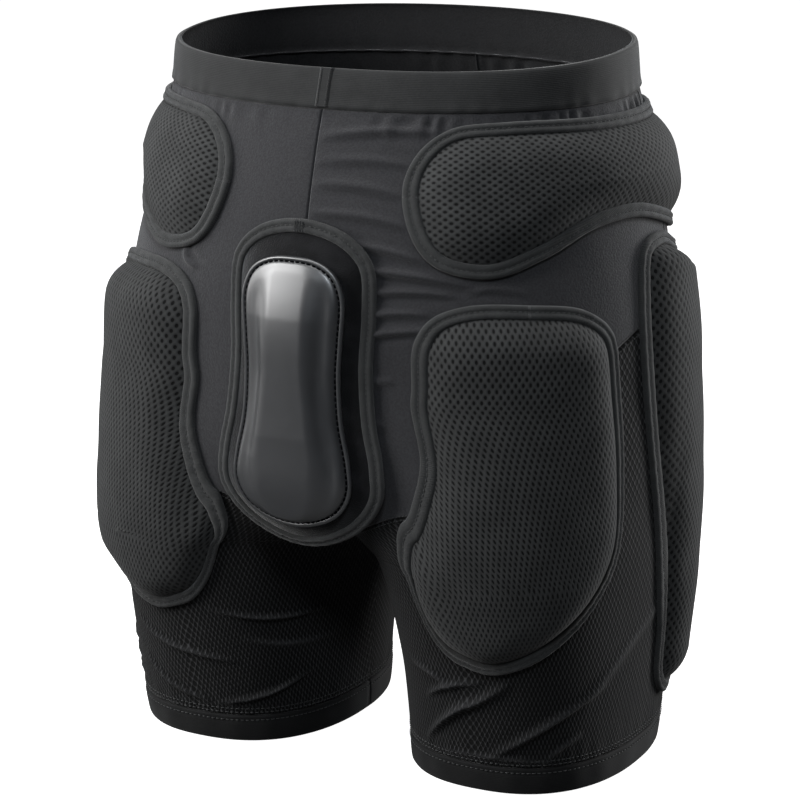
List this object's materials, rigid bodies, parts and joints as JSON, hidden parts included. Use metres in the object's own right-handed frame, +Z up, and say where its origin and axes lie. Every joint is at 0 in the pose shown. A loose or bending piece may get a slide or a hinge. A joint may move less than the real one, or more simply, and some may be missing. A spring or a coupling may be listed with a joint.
{
  "type": "padded impact shorts",
  "caption": "thigh-length stretch impact shorts with stitched-on bound mesh pads at hip, side, thigh, seat and tail, and a hard moulded shell on the front pad",
  "frame": {"origin": "middle of the bounding box in X and Y, at the level of the two hems in Z", "axes": "+Z up to the waist, the front of the shorts faces -Y, the wearer's left is +X, the two halves mirror each other across X"},
  "size_m": [0.4042, 0.3095, 0.474],
  "materials": {
    "band_cloth": "dense elastic cloth, dark grey-green, matt",
    "jersey": "smooth stretch jersey, charcoal with a faint violet tint",
    "leg_mesh": "open perforated stretch mesh, near black",
    "spacer_mesh": "thick spacer mesh with staggered round holes, charcoal",
    "velour": "short brushed pile, near black",
    "binding": "folded and stitched binding tape, dark grey",
    "foam": "closed-cell foam, black, covered",
    "hard_shell": "glossy moulded plastic, dark grey"
  },
  "bodies": {
    "root": {"waistband": "band_cloth", "waistband_front_join": "band_cloth", "jersey_front_left": "jersey", "jersey_back_left": "jersey", "leg_mesh_left": "leg_mesh", "hem_band_left": "band_cloth", "hip_pad_foam_left": "foam", "hip_pad_cover_left": "spacer_mesh", "hip_pad_binding_left": "binding", "thigh_pad_foam_left": "foam", "thigh_pad_cover_left": "spacer_mesh", "thigh_pad_binding_left": "binding", "side_pad_foam_left": "foam", "side_pad_cover_left": "spacer_mesh", "side_pad_binding_left": "binding", "seat_pad_foam_left": "foam", "seat_pad_cover_left": "spacer_mesh", "seat_pad_binding_left": "binding", "jersey_front_right": "jersey", "jersey_back_right": "jersey", "leg_mesh_right": "leg_mesh", "hem_band_right": "band_cloth", "hip_pad_foam_right": "foam", "hip_pad_cover_right": "spacer_mesh", "hip_pad_binding_right": "binding", "thigh_pad_foam_right": "foam", "thigh_pad_cover_right": "spacer_mesh", "thigh_pad_binding_right": "binding", "side_pad_foam_right": "foam", "side_pad_cover_right": "spacer_mesh", "side_pad_binding_right": "binding", "seat_pad_foam_right": "foam", "seat_pad_cover_right": "spacer_mesh", "seat_pad_binding_right": "binding", "tail_pad_foam": "foam", "tail_pad_cover": "spacer_mesh", "tail_pad_binding": "binding", "front_pad_foam": "foam", "front_pad_cover": "velour", "front_pad_binding": "binding", "front_hard_shell": "hard_shell"}
  },
  "joints": []
}
